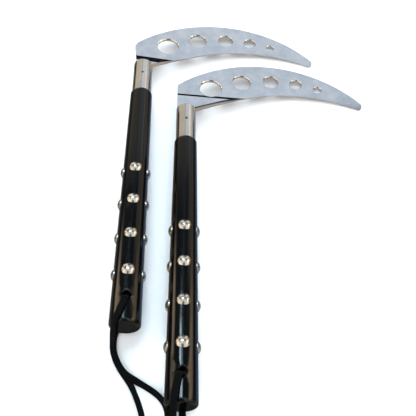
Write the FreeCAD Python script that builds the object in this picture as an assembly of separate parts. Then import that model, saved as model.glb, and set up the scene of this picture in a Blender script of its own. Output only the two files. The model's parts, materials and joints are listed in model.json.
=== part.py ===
"""A pair of studded training sickles (kama), lying side by side on a flat surface.

Frame: millimetres, +Z up from the surface, +Y along the handles towards the blades, +X towards
the blade tips.  The origin is on the surface, at the middle of the pair without its laces.

Each stick is modelled in its own frame: origin on the handle's axis at the butt, +Y towards the
blade, +X towards the blade's tip, +Z towards the front row of studs.  place() then lays it down
so that it rests on its back studs and on the tip of its blade.
"""
import FreeCAD
import Part
import math
import os

V = FreeCAD.Vector

# ---- driving dimensions -------------------------------------------------------------------
BUTT_R = 13.2            # handle radius at the butt
NECK_R = 10.9            # handle radius under the ferrule
HANDLE_L = 262.0
STICK_L = 305.0          # handle and ferrule together, 12 inches
BUTT_ROUND = 3.0         # rounded edge of the butt
NECK_ROUND = 2.5         # rounded shoulder under the ferrule

FERRULE_R = 9.7
FERRULE_WALL = 1.2
FERRULE_ROUND = 0.6
FIT_GAP = 0.05           # slip fit between the wood and the metal

PIN_Y = 285.0
PIN_R = 1.5
PIN_BEVEL = 0.25

BORE_Y = 23.2            # cross bore for the lace
BORE_R = 3.75
BORE_LIP = 1.5           # rounded mouth of the bore
BORE_LIP_SINK = 0.2      # how far the mouth's rounding begins below the handle's crown

STUD_COUNT = 4
STUD_Y = 47.5
STUD_STEP = 36.5
STUD_R = 5.6
STUD_RISE = 2.2          # height of a head above the wood
STUD_DOME = 2.8          # height of the domed part of a head
STUD_SKIRT = 1.5         # height of the straight part under it, before it is seated
SHANK_R = 1.0
SHANK_L = 9.0
SHANK_ROOT = 1.0         # how far a shank reaches up inside its head
NAIL_TIP_R = 0.25        # blunt end of a nail's point

BLADE_TIP = V(184.3, 321.8, 0)
TIP_NOSE = 0.7           # how far the blunt tip stands out past the end of the spine
TIP_CHIN = 3.7           # and past the end of the inner edge
SPINE_CENTRE = V(81.6, 236.6, 0)
SPINE_R = 136.6
EDGE_CENTRE = V(112.5, 167.2, 0)
EDGE_R = 165.0
EDGE_START = V(49.0, 319.5, 0)      # where the long inner arc begins
FOOT_MID = V(30.0, 313.6, 0)        # middle of the short arc between it and the ferrule
EDGE_FOOT = V(8.5, STICK_L, 0)      # where the inner edge leaves the ferrule
BLADE_HALF = 2.75                   # half of the blade's full thickness, at its foot
EDGE_HALF = 1.1                     # half thickness of the ground face at GRIND_AT
GRIND_AT = V(60.0, 327.0, 0)
GRIND_TO_SPINE = 0.022              # thickening of the ground face towards the spine
GRIND_TO_TIP = -0.004               # thinning of the ground face towards the tip
BLADE_CHAMFER = 0.4
HEEL_BULGE = 0.5                    # how far the corner between heel and spine bows out
LONG_EDGE = 8.0                     # the spine's long edges are longer than this
ON_ARC = 0.01                       # and their ends lie this close to its arc
# The heel's foot and top, and the x where the spine begins
HEELS = {"left": (V(-7.2, STICK_L, 0), V(-10.4, 333.6, 0), -5.8),
         "right": (V(-9.0, STICK_L, 0), V(-9.3, 337.0, 0), -6.6)}
# Ends of the line where the front's ground face begins, and a point of the step's upper brink.
# The step was ground by hand, so the two blades differ.
FRONT_STEPS = {"left": (V(-12.0, 319.4, 0), V(32.0, 314.4, 0), V(9.4, 308.6, 0)),
               "right": (V(-12.0, 326.4, 0), V(62.0, 324.3, 0), V(15.0, 321.4, 0))}
BACK_STEP = (V(-12.0, 321.0, 0), EDGE_START, EDGE_FOOT)
BRINK_EASE = 2.4                    # width of the softened brink of the right blade's step
BRINK_SLOPE = 0.04
FOOT_EASE = 1.8                     # width of the softened front edge of its foot
FOOT_SLOPE = 0.12
BEVEL_SLOPE = 0.15                  # back bevel along the inner edge
BEVEL_WIDTH = 14.0
BEVEL_RAMP = 0.069                  # how fast the bevel deepens with x, from BEVEL_FROM
BEVEL_FROM = 11.0
SLAB = 40.0                         # thickness of the cutting slabs
# centre x, centre y and radius of each hole in the blade
BLADE_HOLES = ((25.3, 336.0, 11.5), (57.9, 347.0, 9.9), (89.3, 350.5, 8.3),
               (116.3, 348.9, 6.5), (139.0, 342.9, 4.4))
HOLE_CONE_IN = 1.0                  # how far a hole's 45 degree cone reaches inside its radius
HOLE_CONE_OUT = 2.0
TANG_HALF_X = 6.0
TANG_HALF_Z = 1.5
TANG_FOOT = 268.0
TANG_ROOT = 1.0          # how far the tang reaches up inside the blade
SLOT_SPARE = 1.0         # how much deeper the slot is than the tang

LACE_T = 1.9             # thickness of the flat lace, and diameter of its plain tube
LACE_ARC = 0.45          # part of the shorter run that each arc takes
KNOT_R = 5.5
KNOT_H = 6.4
TAIL_L = 15.0

RIGHT_BUTT = V(-61.44, -218.6, 0)
LEFT_BUTT = V(-107.84, -154.5, 0)

# The lace's routes, from the middle of the bore to the knot, hand placed: x from the handle's
# axis and y from the butt of the lace's own stick, z from the surface.
ROUTES = {
    "left": {
        "front": ((0, 23.2, 15.3), (0.2, 23.4, 30.7), (-0.4, 16, 30.4), (-3.8, 8.5, 30.1),
                  (-6.9, 0.5, 29.8), (-8.8, -5.2, 20), (-9.6, -8.2, 10), (-9.7, -13, 3.2),
                  (-7.1, -20.8, 3), (-3.1, -28.3, 3), (1.7, -34.1, 3), (9.1, -38.4, 2.4),
                  (16.8, -43, 1.2), (24.6, -47.8, 1), (31.2, -53.7, 1), (35.6, -61.5, 1),
                  (36.4, -73, 1), (33, -86, 1), (27, -98, 1), (19, -109.5, 1.6), (13.5, -118, 2.8)),
        "back": ((0, 23.2, 15.3), (0, 23.2, 1), (-5, 15.2, 1), (-8.6, 6, 1), (-10, -4, 1),
                 (-9.6, -13, 1), (-7.1, -20.8, 1), (-3.1, -28.3, 1), (1.3, -34.3, 1),
                 (5.9, -41.3, 1), (9.6, -48.7, 1), (13, -56.5, 1), (16.3, -66, 1),
                 (18.6, -79, 1), (18, -92, 1), (15.5, -105, 1.6), (11, -118, 2.8)),
        "tails": ((3, -13, 0), (-7, -12, 0)),
    },
    "right": {
        "front": ((0, 23.2, 15.3), (-0.3, 23.2, 30.5), (-2.5, 17.5, 32), (-4.5, 8.5, 31),
                  (-5.6, -1.5, 31), (-5.8, -11, 26), (-5, -17.5, 17), (-3.5, -23, 8.5),
                  (0, -31, 2), (6, -44, 1), (17, -56, 1), (32, -64, 1), (49, -66, 1),
                  (64, -60, 1), (75, -48, 1), (80, -34, 1.6), (79, -22, 2.8)),
        "back": ((0, 23.2, 15.3), (0, 23.2, 1), (0, 13, 1), (0.5, 1.5, 1), (1.5, -11, 1),
                 (5, -24, 1), (12, -36.5, 1), (23, -47, 1), (37, -54, 1), (52, -53.5, 1),
                 (65, -46, 1), (73, -34.5, 1.6), (76, -23, 2.8)),
        "tails": ((11, 6, 0), (-11, 7, 0)),
    },
}


# ---- helpers ------------------------------------------------------------------------------
def handle_radius(y):
    """Radius of the tapered handle at station y."""
    return BUTT_R + (NECK_R - BUTT_R) * y / HANDLE_L


def turned(profile):
    """A solid turned about the Y axis.

    The profile is a list of corners (radius, y); a triple entry is the end of an arc, whose
    middle point is given as the third item.
    """
    edges = []
    last = V(*profile[0][:2], 0)
    for entry in profile[1:]:
        point = V(entry[0], entry[1], 0)
        if len(entry) == 3:
            middle = V(entry[2][0], entry[2][1], 0)
            edges.append(Part.Arc(last, middle, point).toShape())
        else:
            edges.append(Part.LineSegment(last, point).toShape())
        last = point
    first = V(*profile[0][:2], 0)
    if last.distanceToPoint(first) > 1e-6:
        edges.append(Part.LineSegment(last, first).toShape())
    face = Part.Face(Part.Wire(edges))
    return face.revolve(V(0, 0, 0), V(0, 1, 0), 360)


def corner_mid(centre_r, centre_y, radius, angle):
    """Point on a quarter round, angle in degrees from +radius towards +Y."""
    a = math.radians(angle)
    return (centre_r + radius * math.cos(a), centre_y + radius * math.sin(a))


def to_row(shape, row):
    """Turn a shape made in the front row (+Z) about the handle to another row."""
    turn = {"front": 0, "inner": 90, "back": 180, "outer": 270}[row]
    turned_shape = shape.copy()
    turned_shape.rotate(V(0, 0, 0), V(0, 1, 0), turn)
    return turned_shape


def moved(shape, placement):
    """A copy of a shape, moved rigidly."""
    copy = shape.copy()
    copy.Placement = placement.multiply(copy.Placement)
    return copy


def tight_box(shape):
    """The exact bounding box of a shape."""
    return shape.optimalBoundingBox(False, False)


# ---- the stick's pieces -------------------------------------------------------------------
def handle_blank():
    """The turned wooden handle with its spigot, before anything is bored in it."""
    spigot_r = FERRULE_R - FERRULE_WALL - FIT_GAP
    spigot_end = STICK_L - FERRULE_WALL - 4 * FIT_GAP
    low = BUTT_ROUND
    high = HANDLE_L - NECK_ROUND
    low_r = handle_radius(low)
    high_r = handle_radius(high)
    return turned([
        (0, 0),
        (low_r - BUTT_ROUND, 0),
        (low_r, low, corner_mid(low_r - BUTT_ROUND, low, BUTT_ROUND, -45)),
        (high_r, high),
        (high_r - NECK_ROUND, HANDLE_L, corner_mid(high_r - NECK_ROUND, high, NECK_ROUND, 45)),
        (spigot_r, HANDLE_L),
        (spigot_r, spigot_end),
        (0, spigot_end),
    ])


def bore_tool():
    """The lace's cross bore, with rounded mouths at both ends."""
    lip = BORE_LIP
    crown = handle_radius(BORE_Y) - BORE_LIP_SINK
    top = crown + 2 * lip
    tool = turned([
        (0, -top),
        (BORE_R + lip, -top),
        (BORE_R + lip, -crown),
        (BORE_R, lip - crown, corner_mid(BORE_R + lip, lip - crown, lip, 225)),
        (BORE_R, crown - lip),
        (BORE_R + lip, crown, corner_mid(BORE_R + lip, crown - lip, lip, 135)),
        (BORE_R + lip, top),
        (0, top),
    ])
    tool.rotate(V(0, 0, 0), V(1, 0, 0), 90)
    tool.translate(V(0, BORE_Y, 0))
    return tool


def shank(station, radius, length):
    """A pointed nail shank of the front row; its top stands proud of the wood, in the head."""
    foot = handle_radius(station) - length
    point_l = 2 * radius
    body = Part.makeCylinder(radius, length - point_l + SHANK_ROOT, V(0, station, foot + point_l))
    point = Part.makeCone(NAIL_TIP_R, radius, point_l, V(0, station, foot))
    return body.fuse(point).removeSplitter()


def stations():
    """The studs' stations along the handle."""
    return [STUD_Y + STUD_STEP * i for i in range(STUD_COUNT)]


def make_handle():
    """The lacquered handle: bored, slotted for the tang and piloted for the studs."""
    tools = [bore_tool()]
    slot_x = TANG_HALF_X + 2 * FIT_GAP
    slot_z = TANG_HALF_Z + FIT_GAP
    slot_foot = TANG_FOOT - SLOT_SPARE
    tools.append(Part.makeBox(2 * slot_x, STICK_L - slot_foot, 2 * slot_z,
                              V(-slot_x, slot_foot, -slot_z)))
    tools.append(Part.makeCylinder(PIN_R, 4 * FERRULE_R, V(0, PIN_Y, -2 * FERRULE_R)))
    for station in stations():
        pilot = shank(station, SHANK_R + FIT_GAP, SHANK_L + FIT_GAP)
        for row in ("front", "inner", "back", "outer"):
            tools.append(to_row(pilot, row))
    return handle_blank().cut(tools)


def make_ferrule():
    """The metal cup over the spigot; its end wall has a slot for the tang."""
    inner = FERRULE_R - FERRULE_WALL
    low = STICK_L - FERRULE_ROUND
    cup = turned([
        (inner, HANDLE_L),
        (FERRULE_R, HANDLE_L),
        (FERRULE_R, low),
        (FERRULE_R - FERRULE_ROUND, STICK_L,
         corner_mid(FERRULE_R - FERRULE_ROUND, low, FERRULE_ROUND, 45)),
        (0, STICK_L),
        (0, STICK_L - FERRULE_WALL),
        (inner, STICK_L - FERRULE_WALL),
    ])
    slot_x = TANG_HALF_X + 2 * FIT_GAP
    slot_z = TANG_HALF_Z + FIT_GAP
    slot = Part.makeBox(2 * slot_x, 4 * FERRULE_WALL, 2 * slot_z,
                        V(-slot_x, STICK_L - 3 * FERRULE_WALL, -slot_z))
    pin_bore = Part.makeCylinder(PIN_R, 4 * FERRULE_R, V(0, PIN_Y, -2 * FERRULE_R))
    return cup.cut([slot, pin_bore])


def make_pin():
    """The pin through ferrule, spigot and tang, with bevelled ends."""
    radius = PIN_R - FIT_GAP / 2
    half = FERRULE_R + PIN_BEVEL
    pin = turned([
        (0, -half),
        (radius - PIN_BEVEL, -half),
        (radius, PIN_BEVEL - half),
        (radius, half - PIN_BEVEL),
        (radius - PIN_BEVEL, half),
        (0, half),
    ])
    pin.rotate(V(0, 0, 0), V(1, 0, 0), 90)
    pin.translate(V(0, PIN_Y, 0))
    return pin


def make_stud_row(row, blank):
    """Four dome-headed nails, seated on the wood, as separate solids."""
    nails = []
    for station in stations():
        top = handle_radius(station) + STUD_RISE
        sphere_r = (STUD_R ** 2 + STUD_DOME ** 2) / (2 * STUD_DOME)
        half_angle = math.asin(STUD_R / sphere_r) / 2
        rim = top - STUD_DOME
        skirt = rim - STUD_SKIRT
        middle = (sphere_r * math.sin(half_angle), top - sphere_r * (1 - math.cos(half_angle)))
        head = turned([(0, skirt), (STUD_R, skirt), (STUD_R, rim), (0, top, middle)])
        head.rotate(V(0, 0, 0), V(1, 0, 0), 90)
        head.translate(V(0, station, 0))
        head = head.cut(blank)
        nail = head.fuse(shank(station, SHANK_R, SHANK_L)).removeSplitter()
        nails.append(to_row(nail, row))
    return Part.makeCompound(nails)


def ground_height(point):
    """Half thickness of the blade's ground face at a point of its outline."""
    along_y = GRIND_TO_SPINE * (point.y - GRIND_AT.y)
    along_x = GRIND_TO_TIP * (point.x - GRIND_AT.x)
    return EDGE_HALF + along_x + along_y


def half_space(a, b, c, above=True):
    """A thick slab above, or below, the plane through three points."""
    normal = (b - a).cross(c - a).normalize()
    if normal.z < 0:
        normal = normal * -1
    low = 0 if above else -SLAB
    slab = Part.makeBox(4 * STICK_L, 4 * STICK_L, SLAB, V(-2 * STICK_L, -2 * STICK_L, low))
    slab.Placement = FreeCAD.Placement(a, FreeCAD.Rotation(V(0, 0, 1), normal))
    return slab


def on_circle(centre, radius, x):
    """The upper point of a circle at x."""
    return V(x, centre.y + math.sqrt(radius ** 2 - (x - centre.x) ** 2), 0)


def blade_outline(side):
    """The outline of a blade: heel, spine arc, blunt tip and inner edge."""
    heel_foot, heel_top, spine_x = HEELS[side]
    spine_start = on_circle(SPINE_CENTRE, SPINE_R, spine_x)
    spine_end = on_circle(SPINE_CENTRE, SPINE_R, BLADE_TIP.x - TIP_NOSE)
    edge_end = on_circle(EDGE_CENTRE, EDGE_R, BLADE_TIP.x - TIP_CHIN)
    edge_start = on_circle(EDGE_CENTRE, EDGE_R, EDGE_START.x)
    chord = spine_start - heel_top
    bulge = V(-chord.y, chord.x, 0).normalize() * HEEL_BULGE
    spine_mid = on_circle(SPINE_CENTRE, SPINE_R, SPINE_CENTRE.x)
    edge_mid = on_circle(EDGE_CENTRE, EDGE_R, EDGE_CENTRE.x)
    edges = [
        Part.LineSegment(heel_foot, heel_top).toShape(),
        Part.Arc(heel_top, heel_top + chord * 0.5 + bulge, spine_start).toShape(),
        Part.Arc(spine_start, spine_mid, spine_end).toShape(),
        Part.Arc(spine_end, BLADE_TIP, edge_end).toShape(),
        Part.Arc(edge_end, edge_mid, edge_start).toShape(),
        Part.Arc(edge_start, FOOT_MID, EDGE_FOOT).toShape(),
        Part.LineSegment(EDGE_FOOT, heel_foot).toShape(),
    ]
    return Part.Face(Part.Wire(edges))


def eased(plate):
    """The plate with its spine's long edges chamfered."""
    spine = []
    for edge in plate.Edges:
        off = [abs(v.Point.sub(V(SPINE_CENTRE.x, SPINE_CENTRE.y, v.Point.z)).Length - SPINE_R)
               for v in edge.Vertexes]
        if edge.Length > LONG_EDGE and max(off) < ON_ARC:
            spine.append(edge)
    return plate.makeChamfer(BLADE_CHAMFER, spine)


def grinding(step):
    """What is ground off the front: all above the ground face past a step, and the step's slope."""
    heel_end, edge_end, brink = step
    heel_end = V(heel_end.x, heel_end.y, ground_height(heel_end))
    edge_end = V(edge_end.x, edge_end.y, ground_height(edge_end))
    far = V(BLADE_TIP.x, 2 * STICK_L, 0)
    far.z = ground_height(far)
    ground = half_space(heel_end, edge_end, far)
    above_step = half_space(heel_end, edge_end, brink + V(0, 0, BLADE_HALF))
    past_step = Part.makeBox(STICK_L, 4 * STICK_L, 2 * SLAB, V(edge_end.x, -STICK_L, -SLAB))
    return ground.common(above_step.fuse(past_step))


def brink_easing(step):
    """Two shallow facets that soften the brink of a step and the front edge of the foot."""
    heel_end, edge_end, brink = step
    along = (edge_end - heel_end).normalize()
    inward = V(along.y, -along.x, 0)
    start = brink + inward * BRINK_EASE + V(0, 0, BLADE_HALF)
    fall = inward * -1 + V(0, 0, -BRINK_SLOPE)
    above_step = half_space(start, start + along, start + fall)
    near = Part.makeBox(STICK_L, brink.y + BRINK_EASE, 2 * SLAB, V(-STICK_L / 2, 0, -SLAB))
    edge = (FOOT_MID - EDGE_FOOT).normalize()
    outward = V(edge.y, -edge.x, 0)
    start = EDGE_FOOT - outward * FOOT_EASE + V(0, 0, BLADE_HALF)
    above_foot = half_space(start, start + edge, start + outward + V(0, 0, -FOOT_SLOPE))
    foot_box = Part.makeBox(edge_end.x, brink.y, 2 * SLAB, V(0, 0, -SLAB))
    return [above_step.common(near), above_foot.common(foot_box)]


def back_bevel():
    """What is ground off the back along the inner edge: nothing at the ferrule, half the
    thickness further out."""
    inner = EDGE_R - BEVEL_WIDTH
    outer = EDGE_R + BEVEL_WIDTH
    rise = BEVEL_WIDTH * BEVEL_SLOPE
    corners = [V(inner, 0, rise), V(outer, 0, -rise), V(outer, 0, -SLAB), V(inner, 0, -SLAB)]
    profile = Part.Face(Part.makePolygon(corners + corners[:1]))
    cone = profile.revolve(V(0, 0, 0), V(0, 0, 1), 360)
    cone.translate(EDGE_CENTRE)
    start = V(BEVEL_FROM, 0, -BLADE_HALF)
    ramp = half_space(start, start + V(0, 1, 0), start + V(1, 0, BEVEL_RAMP), above=False)
    return cone.common(ramp)


def make_blade(side):
    """A blunt drilled blade, ground thinner past its foot, with its tang."""
    plate = blade_outline(side).extrude(V(0, 0, 2 * BLADE_HALF))
    plate.translate(V(0, 0, -BLADE_HALF))
    to_back = (V(0, 0, 0), V(0, 0, 1))
    plate = plate.cut(grinding(FRONT_STEPS[side]))
    plate = plate.cut(grinding(BACK_STEP).mirror(*to_back))
    plate = eased(plate.removeSplitter())
    plate = plate.cut(back_bevel())
    if side == "right":
        plate = plate.cut(brink_easing(FRONT_STEPS[side]))
    tools = []
    for x, y, radius in BLADE_HOLES:
        tools.append(Part.makeCylinder(radius, 4 * BLADE_HALF, V(x, y, -2 * BLADE_HALF)))
        foot = ground_height(V(x, y, 0)) - BLADE_CHAMFER - HOLE_CONE_IN
        bevel = Part.makeCone(radius - HOLE_CONE_IN, radius + HOLE_CONE_OUT,
                              HOLE_CONE_IN + HOLE_CONE_OUT, V(0, 0, foot))
        for cone in (bevel, bevel.mirror(*to_back)):
            cone.translate(V(x, y, 0))
            tools.append(cone)
    plate = plate.cut(tools)
    tang_l = STICK_L - TANG_FOOT + TANG_ROOT
    tang = Part.makeBox(2 * TANG_HALF_X, tang_l, 2 * TANG_HALF_Z,
                        V(-TANG_HALF_X, TANG_FOOT, -TANG_HALF_Z))
    pin_bore = Part.makeCylinder(PIN_R, 4 * FERRULE_R, V(0, PIN_Y, -2 * FERRULE_R))
    return plate.fuse(tang).removeSplitter().cut(pin_bore)


# ---- laying the stick down ----------------------------------------------------------------
def resting_rotation():
    """Rotation that stands a stick on its first and last back studs and on its blade's tip."""
    first, last = stations()[0], stations()[-1]
    near = V(0, first, -handle_radius(first) - STUD_RISE)
    far = V(0, last, -handle_radius(last) - STUD_RISE)
    tip = on_circle(SPINE_CENTRE, SPINE_R, BLADE_TIP.x - TIP_NOSE)
    tip.z = -ground_height(tip)
    up = (far - near).cross(tip - near).normalize()
    if up.z < 0:
        up = up * -1
    along = V(0, 1, 0)
    along = (along - up * along.dot(up)).normalize()
    across = along.cross(up)
    rows = FreeCAD.Matrix(across.x, across.y, across.z, 0, along.x, along.y, along.z, 0,
                          up.x, up.y, up.z, 0, 0, 0, 0, 1)
    return FreeCAD.Placement(rows)


# ---- lace ---------------------------------------------------------------------------------
def tube(points, name):
    """A round tube along straight runs joined by tangent arcs."""
    arcs = []
    for before, at, after in zip(points, points[1:], points[2:]):
        run_in = at - before
        run_out = after - at
        turn = run_in.getAngle(run_out)
        cut = LACE_ARC * min(run_in.Length, run_out.Length)
        radius = cut / math.tan(turn / 2)
        start = at - V(run_in).normalize() * cut
        end = at + V(run_out).normalize() * cut
        bisector = (start - at).normalize() + (end - at).normalize()
        reach = math.hypot(radius, cut) - radius
        middle = at + bisector.normalize() * reach
        arcs.append((start, middle, end, radius, math.degrees(turn)))
    edges = []
    last = points[0]
    for start, middle, end, radius, turn in arcs:
        edges.append(Part.LineSegment(last, start).toShape())
        edges.append(Part.Arc(start, middle, end).toShape())
        last = end
    edges.append(Part.LineSegment(last, points[-1]).toShape())
    path = Part.Wire(edges)
    heading = (points[1] - points[0]).normalize()
    section = Part.Wire(Part.makeCircle(LACE_T / 2, points[0], heading))
    solid = path.makePipeShell([section], True, False)
    area = math.pi * (LACE_T / 2) ** 2
    radii = ", ".join("%.1f" % arc[3] for arc in arcs)
    print("%s: length %.1f mm, volume / (section x length) %.4f, sharpest turn %.0f deg, radii %s"
          % (name, path.Length, solid.Volume / (area * path.Length), max(a[4] for a in arcs), radii))
    return solid


def make_knot(centre, tails):
    """The knot that joins both ends of a lace, with its two short tails."""
    half = KNOT_H / 2
    flat = 0.4 * KNOT_R
    knot = turned([(0, -half), (flat, -half), (flat, half, (KNOT_R, 0)), (0, half)])
    knot.rotate(V(0, 0, 0), V(1, 0, 0), 90)
    knot.translate(V(centre.x, centre.y, half))
    for tail in tails:
        start = V(centre.x, centre.y, LACE_T / 2 + FIT_GAP)
        knot = knot.fuse(Part.makeCylinder(LACE_T / 2, TAIL_L, start, V(*tail).normalize()))
    return knot.removeSplitter()


# ---- the pair -----------------------------------------------------------------------------
def make_stick(side, butt):
    """All nodes of one stick, laid down with its butt over the given point."""
    blank = handle_blank()
    pieces = {
        "handle": make_handle(),
        "ferrule": make_ferrule(),
        "ferrule_pin": make_pin(),
        "blade": make_blade(side),
    }
    for row in ("front", "inner", "back", "outer"):
        pieces["studs_" + row] = make_stud_row(row, blank)
    lay = resting_rotation()
    for name in pieces:
        pieces[name] = moved(pieces[name], lay)
    lift = -min(tight_box(shape).ZMin for shape in pieces.values())
    place = FreeCAD.Placement(V(butt.x, butt.y, lift), FreeCAD.Rotation())
    for name in pieces:
        pieces[name] = moved(pieces[name], place)
    whole = place.multiply(lay)
    x, y, radius = BLADE_HOLES[0]
    print(side, "axis height at the butt %.3f" % lift,
          "largest hole centre", whole.multVec(V(x, y, 0)),
          "its axis", whole.Rotation.multVec(V(0, 0, 1)), "radius", radius,
          "butt centre", whole.multVec(V(0, 0, 0)), "its normal", whole.Rotation.multVec(V(0, -1, 0)))
    return pieces


def make_lace(side, butt):
    """Both strands of one lace and its knot."""
    routes = ROUTES[side]
    pieces = {}
    for strand in ("front", "back"):
        points = [V(x + butt.x, y + butt.y, z) for x, y, z in routes[strand]]
        pieces["lace_" + strand] = tube(points, side + " lace " + strand)
    ends = [V(*routes[strand][-1]) for strand in ("front", "back")]
    centre = (ends[0] + ends[1]) * 0.5 + butt
    pieces["lace_knot"] = make_knot(centre, routes["tails"])
    return pieces


def main():
    os.makedirs("parts", exist_ok=True)
    body_box = FreeCAD.BoundBox()
    for side, butt in (("left", LEFT_BUTT), ("right", RIGHT_BUTT)):
        pieces = make_stick(side, butt)
        for shape in pieces.values():
            body_box.add(tight_box(shape))
        pieces.update(make_lace(side, butt))
        for name, shape in pieces.items():
            if not shape.isValid():
                print("not valid:", side, name)
            shape.exportStep("parts/%s_%s.step" % (side, name))
    print("box without laces", body_box, "centre", body_box.Center)


main()
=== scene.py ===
"""Looks of the pair of studded training sickles.

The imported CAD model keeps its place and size.  This script adds the materials, the flat braided
laces with their knots and tails, the floor, the lights, the studio that the metal mirrors, and
the camera.  Metres throughout.
"""
import bpy
import json
import math
import numpy as np
from mathutils import Matrix, Quaternion, Vector

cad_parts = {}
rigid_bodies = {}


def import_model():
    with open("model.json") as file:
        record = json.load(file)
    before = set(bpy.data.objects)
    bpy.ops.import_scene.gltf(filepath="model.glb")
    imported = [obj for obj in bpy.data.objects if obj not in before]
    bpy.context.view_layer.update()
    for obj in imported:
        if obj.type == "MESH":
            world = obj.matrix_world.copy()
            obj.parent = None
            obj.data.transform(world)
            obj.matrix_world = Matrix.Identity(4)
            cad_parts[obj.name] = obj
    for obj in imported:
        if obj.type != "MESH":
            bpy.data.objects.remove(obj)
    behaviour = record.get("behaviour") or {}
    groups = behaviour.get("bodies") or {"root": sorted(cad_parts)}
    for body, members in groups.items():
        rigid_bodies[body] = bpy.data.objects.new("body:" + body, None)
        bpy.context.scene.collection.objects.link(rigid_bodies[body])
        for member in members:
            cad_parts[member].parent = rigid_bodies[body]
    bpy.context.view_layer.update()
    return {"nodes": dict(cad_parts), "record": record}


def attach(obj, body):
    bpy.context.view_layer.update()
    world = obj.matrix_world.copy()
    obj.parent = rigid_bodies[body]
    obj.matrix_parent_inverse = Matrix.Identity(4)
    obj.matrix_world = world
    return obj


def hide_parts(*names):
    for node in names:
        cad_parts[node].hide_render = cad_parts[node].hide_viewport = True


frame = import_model()

SIDES = ("left", "right")
STUD_ROWS = ("front", "inner", "back", "outer")
MM = 0.001

# ---- the sticks' own frames ----------------------------------------------------------------
MOUNTS = {mount["name"]: mount for mount in frame["record"]["mounts"]}


def stick_frame(side):
    """A stick's own frame as a matrix: butt centre, +Y to the blade, +Z to the front."""
    butt = MOUNTS[side + "_butt_face"]
    y = -Vector(butt["axis"]).normalized()
    z = Vector(MOUNTS[side + "_peg_hole"]["axis"]).normalized()
    x = y.cross(z).normalized()
    z = x.cross(y)
    matrix = Matrix((x, y, z)).transposed().to_4x4()
    matrix.translation = Vector(butt["pos_m"])
    return matrix


STICKS = {side: stick_frame(side) for side in SIDES}

# ---- camera --------------------------------------------------------------------------------
CAMERA_AT = Vector((-0.05264, -0.3769, 0.5033))
CAMERA_AIM = Vector((-0.03974, -0.0262, 0.0))
CAMERA_ROLL = math.radians(2.08)
CAMERA_LENS = 56.8
SENSOR = 36.0


def make_camera():
    """The camera at the photograph's viewing angle."""
    data = bpy.data.cameras.new("camera")
    data.sensor_width = SENSOR
    data.lens = CAMERA_LENS
    camera = bpy.data.objects.new("camera", data)
    bpy.context.scene.collection.objects.link(camera)
    look = (CAMERA_AIM - CAMERA_AT).to_track_quat("-Z", "Y")
    camera.rotation_mode = "QUATERNION"
    camera.rotation_quaternion = look @ Quaternion((0, 0, 1), CAMERA_ROLL)
    camera.location = CAMERA_AT
    data.clip_start = 0.01
    bpy.context.scene.camera = camera


# ---- shader helpers ------------------------------------------------------------------------
def new_material(name):
    """A node material, its node tree and its Principled shader."""
    material = bpy.data.materials.new(name)
    material.use_nodes = True
    tree = material.node_tree
    shader = tree.nodes["Principled BSDF"]
    return material, tree, shader


def node(tree, kind, **values):
    """A node with its sockets or properties set by name."""
    made = tree.nodes.new(kind)
    for key, value in values.items():
        if key in made.inputs:
            made.inputs[key].default_value = value
        else:
            setattr(made, key, value)
    return made


def noise(tree, scale, detail=3.0, rough=0.55, stretch=(1, 1, 1)):
    """Object-space noise, stretched along an axis; returns its factor socket."""
    place = node(tree, "ShaderNodeTexCoord")
    mapping = node(tree, "ShaderNodeMapping")
    mapping.inputs["Scale"].default_value = stretch
    texture = node(tree, "ShaderNodeTexNoise", Scale=scale, Detail=detail, Roughness=rough)
    tree.links.new(place.outputs["Object"], mapping.inputs["Vector"])
    tree.links.new(mapping.outputs["Vector"], texture.inputs["Vector"])
    return texture.outputs["Fac"]


def ramp(tree, factor, stops):
    """A colour ramp from (position, colour) stops; returns its colour socket."""
    made = node(tree, "ShaderNodeValToRGB")
    elements = made.color_ramp.elements
    while len(elements) < len(stops):
        elements.new(0.5)
    for element, (position, colour) in zip(elements, stops):
        element.position = position
        element.color = (*colour, 1)
    tree.links.new(factor, made.inputs["Fac"])
    return made.outputs["Color"]


def spread(tree, factor, low, high):
    """A factor from 0..1 mapped to low..high; returns its socket."""
    made = node(tree, "ShaderNodeMapRange")
    made.inputs["To Min"].default_value = low
    made.inputs["To Max"].default_value = high
    tree.links.new(factor, made.inputs["Value"])
    return made.outputs["Result"]


def bump(tree, height, strength, distance, shader):
    """Bumps on a shader from a height socket."""
    made = node(tree, "ShaderNodeBump", Strength=strength, Distance=distance)
    tree.links.new(height, made.inputs["Height"])
    tree.links.new(made.outputs["Normal"], shader.inputs["Normal"])
    return made


# ---- materials -----------------------------------------------------------------------------
def polished_metal(name, light, dark, rough, wave):
    """Plated metal: a faint cloudiness in colour and gloss, and a very slight waviness."""
    material, tree, shader = new_material(name)
    shader.inputs["Metallic"].default_value = 1.0
    cloud = noise(tree, 60.0, 4.0)
    tree.links.new(ramp(tree, cloud, ((0.3, dark), (0.7, light))), shader.inputs["Base Color"])
    fine = noise(tree, 420.0, 5.0, 0.6)
    tree.links.new(spread(tree, fine, rough[0], rough[1]), shader.inputs["Roughness"])
    bump(tree, noise(tree, wave[0], 2.0), 1.0, wave[1], shader)
    return material


def lacquered_wood():
    """Deep black gloss lacquer: the grain just shows through, with fine dust and wear."""
    material, tree, shader = new_material("lacquered_wood")
    grain = noise(tree, 90.0, 6.0, 0.6, (1.0, 0.06, 1.0))
    colour = ramp(tree, grain, ((0.35, (0.0008, 0.0009, 0.0011)), (0.75, (0.0034, 0.0030, 0.0026))))
    tree.links.new(colour, shader.inputs["Base Color"])
    haze = noise(tree, 240.0, 4.0, 0.65)
    tree.links.new(spread(tree, haze, 0.06, 0.20), shader.inputs["Roughness"])
    shader.inputs["Specular IOR Level"].default_value = 0.5
    bump(tree, grain, 0.35, 0.00012, shader)
    return material


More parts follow.
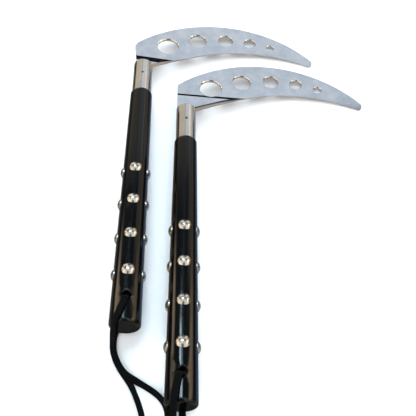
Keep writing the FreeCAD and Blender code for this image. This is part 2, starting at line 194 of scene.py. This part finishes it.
def braided_fabric():
    """Matte black braid: fine diagonal yarns along the lace, painted shade between them, fuzzed at
    grazing angles.
    """
    material, tree, shader = new_material("braided_lace")
    place = node(tree, "ShaderNodeTexCoord")
    axes = node(tree, "ShaderNodeSeparateXYZ")
    tree.links.new(place.outputs["UV"], axes.inputs["Vector"])
    yarns = []
    for sign in (1.0, -1.0):
        across = node(tree, "ShaderNodeMath", operation="MULTIPLY_ADD")
        across.inputs[1].default_value = sign
        tree.links.new(axes.outputs["Y"], across.inputs[0])
        tree.links.new(axes.outputs["X"], across.inputs[2])
        scaled = node(tree, "ShaderNodeMath", operation="MULTIPLY")
        scaled.inputs[1].default_value = 2 * math.pi / YARN
        tree.links.new(across.outputs[0], scaled.inputs[0])
        wave = node(tree, "ShaderNodeMath", operation="SINE")
        tree.links.new(scaled.outputs[0], wave.inputs[0])
        yarns.append(wave.outputs[0])
    weave = node(tree, "ShaderNodeMath", operation="MAXIMUM")
    tree.links.new(yarns[0], weave.inputs[0])
    tree.links.new(yarns[1], weave.inputs[1])
    # Colour follows the weave's height: lighter on the yarns' crests, painted shade in the grooves
    # between them.
    colour = ramp(tree, weave.outputs[0],
                  ((0.0, (0.0006, 0.0007, 0.0008)), (0.9, (0.0048, 0.0052, 0.0056))))
    tree.links.new(colour, shader.inputs["Base Color"])
    shader.inputs["Roughness"].default_value = 0.85
    shader.inputs["Specular IOR Level"].default_value = 0.04
    shader.inputs["Sheen Weight"].default_value = 0.02
    shader.inputs["Sheen Roughness"].default_value = 0.4
    bump(tree, weave.outputs[0], 0.8, 0.0002, shader)
    return material


def floor_material():
    """Plain pale studio paper."""
    material, tree, shader = new_material("studio_paper")
    tooth = noise(tree, 300.0, 3.0)
    tree.links.new(ramp(tree, tooth, ((0.2, (0.90, 0.90, 0.90)), (0.8, (0.93, 0.93, 0.93)))),
                   shader.inputs["Base Color"])
    shader.inputs["Roughness"].default_value = 0.9
    shader.inputs["Specular IOR Level"].default_value = 0.1
    return material


# ---- laces ---------------------------------------------------------------------------------
YARN = 1.1 * MM          # pitch of the braid's fine yarns
LACE_W = 5.5 * MM
LACE_T = 1.8 * MM
STITCH = 1.8 * MM        # pitch of the braid's cells
CELL_RISE = 0.09 * MM
RING_STEP = 0.33 * MM
RING_POINTS = 32
SQUARENESS = 3.2         # how square the flat section's corners are
SURFACE_GAP = 0.05 * MM  # the least height of a lace above the surface
LINE_STEPS = 32          # steps of a route's spline between two of its points
TIP_LEAST = 0.1          # width of a tail's very end, as a part of its full width

KNOT_LONG = 5.6 * MM
KNOT_WIDE = 4.3 * MM
KNOT_HIGH = 1.75 * MM
KNOT_TUBE = 1.75 * MM
KNOT_RINGS = 220
KNOT_SIDES = 24
KNOT_FLAT = (1.25, 0.85)            # the tube's width and thickness, in radii
KNOT_CELLS = 14
KNOT_CELL_RISE = 0.06
KNOT_UV_STEP = (0.0002, 0.0004)     # per ring and per side

TAIL_L = 15.0 * MM
TAIL_BEND = 1.2 * MM
TAIL_GAP = 0.1 * MM
# Part of the tail's length, and part of its sideways bend, at each point of its line.
TAIL_SHAPE = ((0, 0), (0.4, 1), (0.75, 0.8), (1, 0))

# Routes from the middle of the bore to the knot, in millimetres: x from the handle's axis and
# y from the butt of the lace's own stick, z from the surface.
ROUTES = {
    "left": {
        "front": ((0, 23.2, 15.3), (0.2, 23.4, 30.7), (-0.4, 16, 30.4), (-3.8, 8.5, 30.1),
                  (-6.9, 0.5, 29.8), (-8.8, -5.2, 20), (-9.6, -8.2, 10), (-9.7, -13, 3.2),
                  (-7.1, -20.8, 3), (-3.1, -28.3, 3), (1.7, -34.1, 3), (9.1, -38.4, 2.4),
                  (16.8, -43, 1.2), (24.6, -47.8, 1), (31.2, -53.7, 1), (35.6, -61.5, 1),
                  (36.4, -73, 1), (33, -86, 1), (27, -98, 1), (19, -109.5, 1.6), (13.5, -118, 2.8)),
        "back": ((0, 23.2, 15.3), (0, 23.2, 1), (-5, 15.2, 1), (-8.6, 6, 1), (-10, -4, 1),
                 (-9.6, -13, 1), (-7.1, -20.8, 1), (-3.1, -28.3, 1), (1.3, -34.3, 1),
                 (5.9, -41.3, 1), (9.6, -48.7, 1), (13, -56.5, 1), (16.3, -66, 1),
                 (18.6, -79, 1), (18, -92, 1), (15.5, -105, 1.6), (11, -118, 2.8)),
        "tails": ((3, -13), (-7, -12)),
    },
    "right": {
        "front": ((0, 23.2, 15.3), (-0.3, 23.2, 30.5), (-2.5, 17.5, 32), (-4.5, 8.5, 31),
                  (-5.6, -1.5, 31), (-5.8, -11, 26), (-5, -17.5, 17), (-3.5, -23, 8.5),
                  (0, -31, 2), (6, -44, 1), (17, -56, 1), (32, -64, 1), (49, -66, 1),
                  (64, -60, 1), (75, -48, 1), (80, -34, 1.6), (79, -22, 2.8)),
        "back": ((0, 23.2, 15.3), (0, 23.2, 1), (0, 13, 1), (0.5, 1.5, 1), (1.5, -11, 1),
                 (5, -24, 1), (12, -36.5, 1), (23, -47, 1), (37, -54, 1), (52, -53.5, 1),
                 (65, -46, 1), (73, -34.5, 1.6), (76, -23, 2.8)),
        "tails": ((11, 6), (-11, 7)),
    },
}
# Which way the lace's outer face looks at some points of its route.  Between them it twists
# evenly.
FACES = {
    ("left", "front"): {0: (0, 1, 0), 1: (0, 0.7, 0.7), 2: (-0.03, 0, 1), 3: (-0.25, 0, 0.97),
                        4: (-0.45, 0, 0.89), 5: (-0.55, -0.5, 0.65), 6: (-0.6, -0.7, 0.35),
                        7: (-0.35, -0.3, 0.88), 8: (0, 0, 1), 10: (-0.1, 0, 1),
                        11: (-0.5, -0.1, 0.85), 12: (-0.45, -0.6, 0.66)},
    ("left", "back"): {0: (0, 1, 0), 1: (0, 0.7, -0.7), 2: (0, 0, -1), 8: (0, 0, -1),
                       9: (-0.5, -0.1, -0.86), 10: (-0.62, -0.2, -0.75)},
    ("right", "front"): {0: (0, 1, 0), 1: (0, 0.6, 0.8), 2: (-0.1, 0, 1), 4: (-0.35, 0, 0.94),
                         5: (-0.3, -0.5, 0.8), 6: (0, -0.9, 0.5), 7: (0, -0.7, 0.7), 8: (0, 0, 1)},
    ("right", "back"): {0: (0, 1, 0), 1: (0, 0.7, -0.7), 2: (0, 0, -1)},
}


def route_points(side, strand):
    """The route's points in the model's frame, in metres."""
    butt = MOUNTS[side + "_butt_face"]["pos_m"]
    return [Vector((x * MM + butt[0], y * MM + butt[1], z * MM))
            for x, y, z in ROUTES[side][strand]]


def smooth_line(points, name):
    """The points along the NURBS spline that has the route's points as its control points."""
    curve = bpy.data.curves.new(name + "_line", "CURVE")
    curve.dimensions = "3D"
    spline = curve.splines.new("NURBS")
    spline.points.add(len(points) - 1)
    for target, point in zip(spline.points, points):
        target.co = (*point, 1)
    spline.order_u = 3
    spline.use_endpoint_u = True
    spline.resolution_u = LINE_STEPS
    holder = bpy.data.objects.new(name + "_line", curve)
    mesh = bpy.data.meshes.new_from_object(holder)
    line = np.array([vertex.co for vertex in mesh.vertices])
    bpy.data.objects.remove(holder)
    bpy.data.curves.remove(curve)
    bpy.data.meshes.remove(mesh)
    return line


def evenly(line, values, step):
    """A line and values along it, resampled at an even step."""
    along = np.concatenate(([0], np.cumsum(np.linalg.norm(np.diff(line, axis=0), axis=1))))
    count = max(int(round(along[-1] / step)), 2)
    at = np.linspace(0, along[-1], count + 1)
    even = np.stack([np.interp(at, along, line[:, axis]) for axis in range(3)], 1)
    carried = np.stack([np.interp(at, along, values[:, axis]) for axis in range(3)], 1)
    return at, even, carried


def unit(rows):
    """Rows scaled to length 1."""
    return rows / np.linalg.norm(rows, axis=1, keepdims=True)


def faces_along(line, keys, count):
    """The outer face's direction at each point of a line, from keys at the route's points."""
    last = max(keys)
    # A spline of order 3 with clamped ends is nearest its point k at (k - 0.5) / (count - 2).
    position = [0 if key == 0 else (key - 0.5) / (count - 2) for key in sorted(keys)] + [1.0]
    value = np.array([keys[key] for key in sorted(keys)] + [keys[last]], float)
    at = np.linspace(0, 1, len(line))
    return np.stack([np.interp(at, position, value[:, axis]) for axis in range(3)], 1)


def ribbon(name, line, faces, tapered=False):
    """A flat braided lace along a line, as a closed mesh; returns the object and its path."""
    along, path, face = evenly(line, faces, RING_STEP)
    tangent = unit(np.gradient(path, axis=0))
    across = unit(np.cross(tangent, face))
    face = np.cross(across, tangent)
    angle = np.linspace(0, 2 * np.pi, RING_POINTS, endpoint=False)
    power = 2 / SQUARENESS
    wide = np.sign(np.cos(angle)) * np.abs(np.cos(angle)) ** power * LACE_W / 2
    thick = np.sign(np.sin(angle)) * np.abs(np.sin(angle)) ** power * LACE_T / 2
    run = along[:, None]
    cell = np.abs(np.sin(np.pi * (run + wide) / STITCH) * np.sin(np.pi * (run - wide) / STITCH))
    rise = CELL_RISE * (np.sqrt(cell) - 0.5)
    end = np.ones((len(along), 1))
    if tapered:
        left = np.clip((along[-1] - along) / (LACE_T / 2), 0, 1)
        end = np.sqrt(1 - (1 - left) ** 2)[:, None] * (1 - TIP_LEAST) + TIP_LEAST
    scale = end * (1 + rise / (LACE_T / 2))
    points = (path[:, None, :] + across[:, None, :] * (wide[None, :] * end)[:, :, None]
              + face[:, None, :] * (thick[None, :] * scale)[:, :, None])
    sunk = np.maximum(SURFACE_GAP - points[:, :, 2].min(axis=1), 0)
    points[:, :, 2] += sunk[:, None]
    path[:, 2] += sunk
    rings = len(path)
    vertices = points.reshape(-1, 3).tolist()
    quads = []
    for ring in range(rings - 1):
        for i in range(RING_POINTS):
            j = (i + 1) % RING_POINTS
            a = ring * RING_POINTS
            b = a + RING_POINTS
            quads.append((a + i, a + j, b + j, b + i))
    quads.append(tuple(reversed(range(RING_POINTS))))
    quads.append(tuple(range((rings - 1) * RING_POINTS, rings * RING_POINTS)))
    mesh = bpy.data.meshes.new(name)
    mesh.from_pydata(vertices, [], quads)
    layer = mesh.uv_layers.new(name="braid")
    for polygon in mesh.polygons:
        for loop in polygon.loop_indices:
            vertex = mesh.loops[loop].vertex_index
            layer.data[loop].uv = (along[vertex // RING_POINTS], wide[vertex % RING_POINTS])
    mesh.shade_smooth()
    piece = bpy.data.objects.new(name, mesh)
    bpy.context.scene.collection.objects.link(piece)
    return piece, path


def knot_mesh(name, centre, heading):
    """An overhand knot: a trefoil of the doubled lace, pulled tight and lying on the surface."""
    turns = np.linspace(0, 2 * np.pi, KNOT_RINGS, endpoint=False)
    x = (np.sin(turns) + 2 * np.sin(2 * turns)) / 3
    y = (np.cos(turns) - 2 * np.cos(2 * turns)) / 3
    z = -np.sin(3 * turns)
    line = np.stack([x * KNOT_LONG, y * KNOT_WIDE, z * KNOT_HIGH], 1)
    tangent = unit(np.roll(line, -1, axis=0) - np.roll(line, 1, axis=0))
    up = np.array([0.0, 0.0, 1.0])
    across = unit(np.cross(tangent, up))
    face = np.cross(across, tangent)
    angle = np.linspace(0, 2 * np.pi, KNOT_SIDES, endpoint=False)
    run = turns[:, None] * KNOT_CELLS
    cell = np.abs(np.sin(run + angle) * np.sin(run - angle))
    radius = KNOT_TUBE * (1 + KNOT_CELL_RISE * (np.sqrt(cell) - 0.5))
    wide = KNOT_FLAT[0] * radius * np.cos(angle)
    thick = KNOT_FLAT[1] * radius * np.sin(angle)
    points = (line[:, None, :] + across[:, None, :] * wide[:, :, None]
              + face[:, None, :] * thick[:, :, None])
    vertices = points.reshape(-1, 3)
    vertices[:, 2] -= vertices[:, 2].min()
    c, s = math.cos(heading), math.sin(heading)
    turn = np.array([[c, -s, 0], [s, c, 0], [0, 0, 1]])
    vertices = vertices @ turn.T + np.array([centre.x, centre.y, 0])
    quads = []
    for ring in range(len(turns)):
        for i in range(KNOT_SIDES):
            j = (i + 1) % KNOT_SIDES
            a = ring * KNOT_SIDES
            b = (ring + 1) % len(turns) * KNOT_SIDES
            quads.append((a + i, a + j, b + j, b + i))
    mesh = bpy.data.meshes.new(name)
    mesh.from_pydata(vertices.tolist(), [], quads)
    layer = mesh.uv_layers.new(name="braid")
    for polygon in mesh.polygons:
        for loop in polygon.loop_indices:
            vertex = mesh.loops[loop].vertex_index
            layer.data[loop].uv = (vertex // KNOT_SIDES * KNOT_UV_STEP[0],
                                   vertex % KNOT_SIDES * KNOT_UV_STEP[1])
    mesh.shade_smooth()
    piece = bpy.data.objects.new(name, mesh)
    bpy.context.scene.collection.objects.link(piece)
    return piece


def make_lace(side, fabric):
    """Both strands of a lace, its knot and its tails."""
    body = side + "_stick"
    ends = [route_points(side, strand)[-1] for strand in ("front", "back")]
    before = [route_points(side, strand)[-2] for strand in ("front", "back")]
    centre = (ends[0] + ends[1]) / 2
    arriving = (centre - (before[0] + before[1]) / 2).normalized()
    knot = knot_mesh(side + "_knot", centre, math.atan2(arriving.y, arriving.x))
    tails = []
    for number, (x, y) in enumerate(ROUTES[side]["tails"]):
        way = Vector((x, y, 0)).normalized()
        bend = Vector((-way.y, way.x, 0)) * (TAIL_BEND if number else -TAIL_BEND)
        lift = Vector((0, 0, LACE_T / 2 + TAIL_GAP))
        points = [centre + lift + way * out * TAIL_L + bend * aside for out, aside in TAIL_SHAPE]
        line = smooth_line([Vector((p.x, p.y, lift.z)) for p in points], side + "_tail")
        up = np.tile(np.array([0.0, 0.0, 1.0]), (len(line), 1))
        tail, _ = ribbon("%s_tail_%d" % (side, number + 1), line, up, tapered=True)
        tails.append(tail)
    for strand in ("front", "back"):
        points = route_points(side, strand)
        name = "%s_strand_%s" % (side, strand)
        line = smooth_line(points, name)
        faces = faces_along(line, FACES[(side, strand)], len(points))
        piece, path = ribbon(name, line, faces)
        finish_piece(piece, body, fabric)
        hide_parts("%s_lace_%s" % (side, strand))
    for piece in (knot, *tails):
        finish_piece(piece, body, fabric)
    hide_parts(side + "_lace_knot")


def finish_piece(piece, body, material):
    """Gives a new piece its material and its body."""
    piece.data.materials.clear()
    piece.data.materials.append(material)
    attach(piece, body)


# ---- CAD nodes' looks ----------------------------------------------------------------------
def dress(node_name, material):
    """A CAD node keeps its mesh and takes a material."""
    piece = frame["nodes"][node_name]
    for holder in ([piece] if piece.type == "MESH" else piece.children):
        holder.data.materials.clear()
        holder.data.materials.append(material)


# ---- light and floor -----------------------------------------------------------------------
# What the metal and the lacquer mirror, as soft-edged patches of the studio round the object.
# Each is a colour and its limits (low, high, softness) in the direction's x, y, z or |x|.
# A direction's parts stay below 1, so a limit at NO_LIMIT or beyond is none.
NO_LIMIT = 2
STUDIO = (
    ("pale backdrop", (0.49, 0.53, 0.58),
     {"x": (-0.03, 0.60, 0.05), "y": (0.648, 0.785, 0.02), "z": (0.4, 2, 0.1)}),
    ("backdrop's edge", (1.1, 1.15, 1.2),
     {"abs": (-2, 0.6, 0.2), "y": (0.785, 0.80, 0.008), "z": (0.4, 2, 0.1)}),
    ("window", (8.5, 12.5, 14.0),
     {"abs": (-2, 0.10, 0.08), "y": (0.27, 0.39, 0.05), "z": (0.6, 2, 0.1)}),
    ("window, left", (9.0, 13.0, 14.5),
     {"x": (-0.29, -0.09, 0.06), "y": (0.37, 0.45, 0.03), "z": (0.6, 2, 0.1)}),
    ("window's glow", (0.08, 0.15, 0.24),
     {"abs": (-2, 0.08, 0.08), "y": (0.40, 0.64, 0.06), "z": (0.5, 2, 0.1)}),
    ("ceiling", (0.62, 0.67, 0.72),
     {"abs": (-2, 0.60, 0.25), "y": (-0.35, 0.19, 0.1), "z": (0.4, 2, 0.2)}),
    ("near right wall", (2.9, 2.2, 1.4),
     {"x": (0.74, 0.90, 0.12), "y": (-0.3, 0.47, 0.22), "z": (0.08, 0.75, 0.16)}),
    ("near left wall", (2.9, 2.25, 1.5),
     {"x": (-2, -0.78, 0.12), "y": (0.385, 0.54, 0.10), "z": (0.08, 0.75, 0.16)}),
    ("left corner", (1.3, 1.02, 0.72),
     {"x": (-0.97, -0.66, 0.12), "y": (-0.35, 0.24, 0.10), "z": (0.08, 0.75, 0.16)}),
    ("far left wall", (0.44, 0.37, 0.275),
     {"x": (-0.88, -0.07, 0.06), "y": (0.635, 0.80, 0.06), "z": (0.0, 2, 0.2)}),
    ("far right wall", (0.44, 0.37, 0.275),
     {"x": (0.50, 0.84, 0.1), "y": (0.50, 0.80, 0.12), "z": (0.0, 2, 0.2)}),
    ("far end, left", (0.95, 0.80, 0.62),
     {"x": (-2, -0.14, 0.04), "y": (0.81, 2, 0.02), "z": (-0.4, 2, 0.2)}),
    ("far end, right", (0.95, 0.80, 0.62),
     {"x": (0.32, 2, 0.04), "y": (0.81, 2, 0.02), "z": (-0.4, 2, 0.2)}),
    ("far end, high", (0.95, 0.80, 0.62),
     {"x": (-0.14, 0.32, 0.04), "y": (0.81, 2, 0.02), "z": (0.45, 2, 0.06)}),
    ("room behind", (0.9, 0.76, 0.58),
     {"abs": (0.28, 2, 0.15), "y": (-2, -0.3, 0.2), "z": (0.05, 2, 0.2)}),
    ("table in front", (0.38, 0.32, 0.25),
     {"y": (-2, 0.10, 0.2), "z": (-0.88, 0.02, 0.06)}),
    ("table underneath", (0.05, 0.06, 0.055),
     {"y": (-2, 0.10, 0.2), "z": (-2, -0.88, 0.06)}),
    ("table beyond, right", (0.22, 0.30, 0.45),
     {"x": (0.12, 2, 0.1), "y": (0.15, 2, 0.1), "z": (-2, -0.35, 0.3)}),
    ("table beyond, left", (0.22, 0.18, 0.13),
     {"x": (-2, -0.12, 0.1), "y": (0.15, 2, 0.1), "z": (-2, -0.35, 0.3)}),
    ("dim room", (0.045, 0.06, 0.08),
     {"y": (-2, 0.78, 0.04), "z": (0.0, 2, 0.1)}),
    ("gloom", (0.006, 0.009, 0.014),
     {}),
)


def step_node(tree, value, at, soft, rising):
    """A smooth step of a value; returns its socket."""
    made = node(tree, "ShaderNodeMapRange", interpolation_type="SMOOTHSTEP")
    made.inputs["From Min"].default_value = at - soft / 2
    made.inputs["From Max"].default_value = at + soft / 2
    made.inputs["To Min"].default_value = 0.0 if rising else 1.0
    made.inputs["To Max"].default_value = 1.0 if rising else 0.0
    tree.links.new(value, made.inputs["Value"])
    return made.outputs["Result"]


def make_world():
    """The studio round the object; the camera itself sees plain white beyond the floor."""
    world = bpy.data.worlds.new("studio")
    world.use_nodes = True
    bpy.context.scene.world = world
    tree = world.node_tree
    back = tree.nodes["Background"]
    place = node(tree, "ShaderNodeTexCoord")
    axes = node(tree, "ShaderNodeSeparateXYZ")
    tree.links.new(place.outputs["Generated"], axes.inputs["Vector"])
    side = node(tree, "ShaderNodeMath", operation="ABSOLUTE")
    tree.links.new(axes.outputs["X"], side.inputs[0])
    values = {"x": axes.outputs["X"], "y": axes.outputs["Y"], "z": axes.outputs["Z"],
              "abs": side.outputs[0]}
    total = None
    for name, colour, limits in STUDIO:
        mask = None
        for key, (low, high, soft) in limits.items():
            for at, rising in ((low, True), (high, False)):
                if abs(at) >= NO_LIMIT:
                    continue
                edge = step_node(tree, values[key], at, soft, rising)
                if mask is None:
                    mask = edge
                    continue
                times = node(tree, "ShaderNodeMath", operation="MULTIPLY")
                tree.links.new(mask, times.inputs[0])
                tree.links.new(edge, times.inputs[1])
                mask = times.outputs[0]
        patch = node(tree, "ShaderNodeVectorMath", operation="SCALE")
        patch.inputs[0].default_value = colour
        patch.inputs["Scale"].default_value = 1.0
        if mask is not None:
            tree.links.new(mask, patch.inputs["Scale"])
        if total is None:
            total = patch.outputs[0]
            continue
        plus = node(tree, "ShaderNodeVectorMath", operation="ADD")
        tree.links.new(total, plus.inputs[0])
        tree.links.new(patch.outputs[0], plus.inputs[1])
        total = plus.outputs[0]
    path = node(tree, "ShaderNodeLightPath")
    seen = node(tree, "ShaderNodeMix", data_type="RGBA")
    seen.inputs["B"].default_value = (1, 1, 1, 1)
    tree.links.new(path.outputs["Is Camera Ray"], seen.inputs["Factor"])
    tree.links.new(total, seen.inputs["A"])
    tree.links.new(seen.outputs["Result"], back.inputs["Color"])
    back.inputs["Strength"].default_value = 1.0


SKY_SIZE = 8.0
SKY_HEIGHT = 1.7
SKY_WATTS = 60.0
SKY_COLOUR = (0.79, 0.895, 1.0)
SIDE_AZIMUTHS = (0, 75, 90, 105, 180, 270)
SIDE_ELEVATION = math.radians(33)
SIDE_SPREAD = math.radians(30)
SIDE_STRENGTH = 1.0
FLOOR_HALF = 4.0


def add_light(name, data, place, aim):
    """Places a light that neither the metal nor the camera sees."""
    data.color = SKY_COLOUR
    light = bpy.data.objects.new(name, data)
    light.location = place
    light.rotation_mode = "QUATERNION"
    light.rotation_quaternion = (Vector(aim) - Vector(place)).to_track_quat("-Z", "Y")
    light.visible_glossy = False
    light.visible_camera = False
    bpy.context.scene.collection.objects.link(light)


def make_lights():
    """A very large soft light overhead, and soft low light from all round."""
    data = bpy.data.lights.new("soft_sky", "AREA")
    data.size = SKY_SIZE
    data.energy = SKY_WATTS
    add_light("soft_sky", data, (0, 0, SKY_HEIGHT), (0, 0, 0))
    for number, degrees in enumerate(SIDE_AZIMUTHS):
        azimuth = math.radians(degrees)
        flat = math.cos(SIDE_ELEVATION)
        place = (flat * math.cos(azimuth), flat * math.sin(azimuth), math.sin(SIDE_ELEVATION))
        data = bpy.data.lights.new("side_light_%d" % number, "SUN")
        data.angle = SIDE_SPREAD
        data.energy = SIDE_STRENGTH
        add_light(data.name, data, place, (0, 0, 0))


def make_floor():
    """A large pale floor at the height that the object rests on."""
    mesh = bpy.data.meshes.new("floor")
    corners = [(x * FLOOR_HALF, y * FLOOR_HALF, 0) for x, y in ((-1, -1), (1, -1), (1, 1), (-1, 1))]
    mesh.from_pydata(corners, [], [(0, 1, 2, 3)])
    floor = bpy.data.objects.new("floor", mesh)
    floor.visible_glossy = False
    bpy.context.scene.collection.objects.link(floor)
    mesh.materials.append(floor_material())


# ---- the scene -----------------------------------------------------------------------------
def main():
    make_camera()
    fabric = braided_fabric()
    for side in SIDES:
        make_lace(side, fabric)
    blade = polished_metal("blade_plate", (1.0, 1.0, 1.0), (0.76, 0.80, 0.85), (0.06, 0.13),
                           (30.0, 0.00010))
    ferrule = polished_metal("ferrule_tube", (0.96, 0.94, 0.90), (0.84, 0.81, 0.76), (0.10, 0.18),
                             (50.0, 0.00004))
    stud = polished_metal("nail_head", (0.90, 0.88, 0.84), (0.70, 0.68, 0.64), (0.20, 0.30),
                          (420.0, 0.00008))
    pin = polished_metal("pin_end", (0.42, 0.26, 0.09), (0.25, 0.15, 0.05), (0.3, 0.45),
                         (300.0, 0.00005))
    wood = lacquered_wood()
    for side in SIDES:
        dress(side + "_handle", wood)
        dress(side + "_ferrule", ferrule)
        dress(side + "_ferrule_pin", pin)
        dress(side + "_blade", blade)
        for row in STUD_ROWS:
            dress("%s_studs_%s" % (side, row), stud)
    make_floor()
    make_world()
    make_lights()
    bpy.context.scene.view_settings.view_transform = "Standard"


main()
